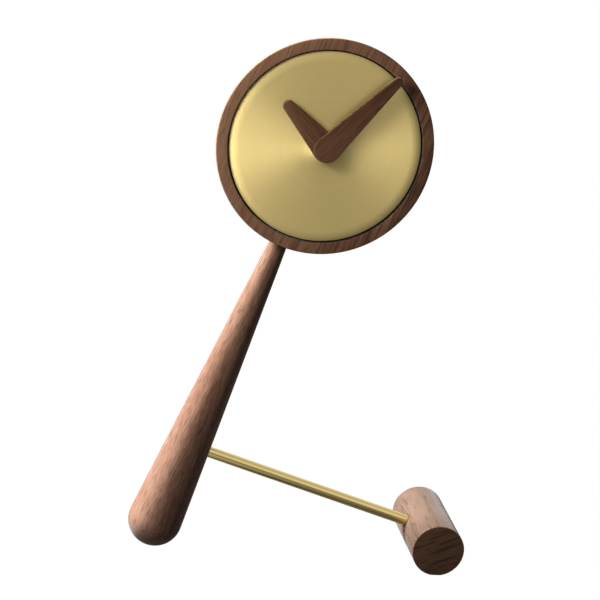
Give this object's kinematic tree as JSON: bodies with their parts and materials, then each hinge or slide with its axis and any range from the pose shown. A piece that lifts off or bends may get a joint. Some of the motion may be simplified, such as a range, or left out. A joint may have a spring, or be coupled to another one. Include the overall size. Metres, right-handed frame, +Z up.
{
  "type": "table clock",
  "caption": "Round walnut table clock with a spun brass dial and wooden hands, on a leaning tapered leg, a brass strut and a short roller foot.",
  "frame": {"origin": "on the surface it stands on, midway between the outer sides of the foot and the roller, in the plane of the leg's axis", "axes": "+Z up, the dial faces -Y, +X from the foot towards the roller"},
  "size_m": [0.1572, 0.052, 0.248],
  "materials": {
    "walnut_case": "oiled",
    "walnut_hands": "oiled",
    "walnut_leg": "oiled",
    "walnut_roller": "oiled",
    "brass_dial": "spun satin",
    "brass_strut": "drawn bar, brushed lengthwise",
    "brass_collar": "turned",
    "brass_fittings": "turned",
    "steel": "zinc plated",
    "rubber": "matte",
    "housing": "fine textured",
    "wheels": "moulded",
    "magnet": "sintered",
    "stator_iron": "stamped",
    "bobbin": "moulded",
    "copper": "enamelled wire",
    "board": "solder resist",
    "battery_sleeve": "printed sleeve, bare",
    "contacts": "nickel plated"
  },
  "bodies": {
    "clock_body": {"case_body": "walnut_case", "dial_plate": "brass_dial", "centre_collar": "brass_collar", "leg": "walnut_leg", "leg_stud": "steel", "leg_insert": "brass_fittings", "strut_rod": "brass_strut", "roller_foot": "walnut_roller", "rubber_washer": "rubber", "threaded_bush": "brass_fittings", "movement_front_housing": "housing", "movement_back_housing": "housing", "stator": "stator_iron", "coil_bobbin": "bobbin", "coil_winding": "copper", "circuit_board": "board", "quartz_crystal": "steel", "contact_positive": "contacts", "contact_negative": "contacts"},
    "minute_set": {"minute_hand": "walnut_hands", "minute_hand_bush": "brass_fittings", "minute_arbor": "brass_fittings", "centre_wheel": "wheels"},
    "hour_set": {"hour_hand": "walnut_hands", "hour_hand_bush": "brass_fittings", "hour_wheel": "wheels"},
    "minute_wheel_set": {"minute_wheel": "wheels"},
    "setting_set": {"setting_knob": "housing"},
    "third_wheel_set": {"third_wheel": "wheels"},
    "rotor_set": {"rotor": "magnet"},
    "battery_set": {"battery": "battery_sleeve"}
  },
  "joints": [
    {"name": "minute_hand_turn", "type": "hinge", "parent": "clock_body", "child": "minute_set", "pos_m": [-0.00473, 0, 0.19822], "axis": [0, 1, 0], "continuous": true},
    {"name": "hour_hand_turn", "type": "hinge", "parent": "clock_body", "child": "hour_set", "pos_m": [-0.00473, 0, 0.19822], "axis": [0, 1, 0], "continuous": true},
    {"name": "minute_wheel_turn", "type": "hinge", "parent": "clock_body", "child": "minute_wheel_set", "pos_m": [0.00727, 0, 0.19822], "axis": [0, 1, 0], "continuous": true},
    {"name": "setting_knob_turn", "type": "hinge", "parent": "clock_body", "child": "setting_set", "pos_m": [0.01477, 0, 0.21121], "axis": [0, 1, 0], "continuous": true},
    {"name": "third_wheel_turn", "type": "hinge", "parent": "clock_body", "child": "third_wheel_set", "pos_m": [-0.00473, 0, 0.20998], "axis": [0, 1, 0], "continuous": true},
    {"name": "rotor_turn", "type": "hinge", "parent": "clock_body", "child": "rotor_set", "pos_m": [-0.01433, 0, 0.20998], "axis": [0, 1, 0], "continuous": true},
    {"name": "battery_slide", "type": "slide", "parent": "clock_body", "child": "battery_set", "axis": [0, 1, 0], "range_m": [0, 0.03]}
  ],
  "couplings": [
    {"joint": "hour_hand_turn", "follows": "minute_hand_turn", "ratio": 0.083333},
    {"joint": "minute_wheel_turn", "follows": "minute_hand_turn", "ratio": -0.33333},
    {"joint": "setting_knob_turn", "follows": "minute_hand_turn", "ratio": 0.5},
    {"joint": "third_wheel_turn", "follows": "minute_hand_turn", "ratio": -6}
  ]
}
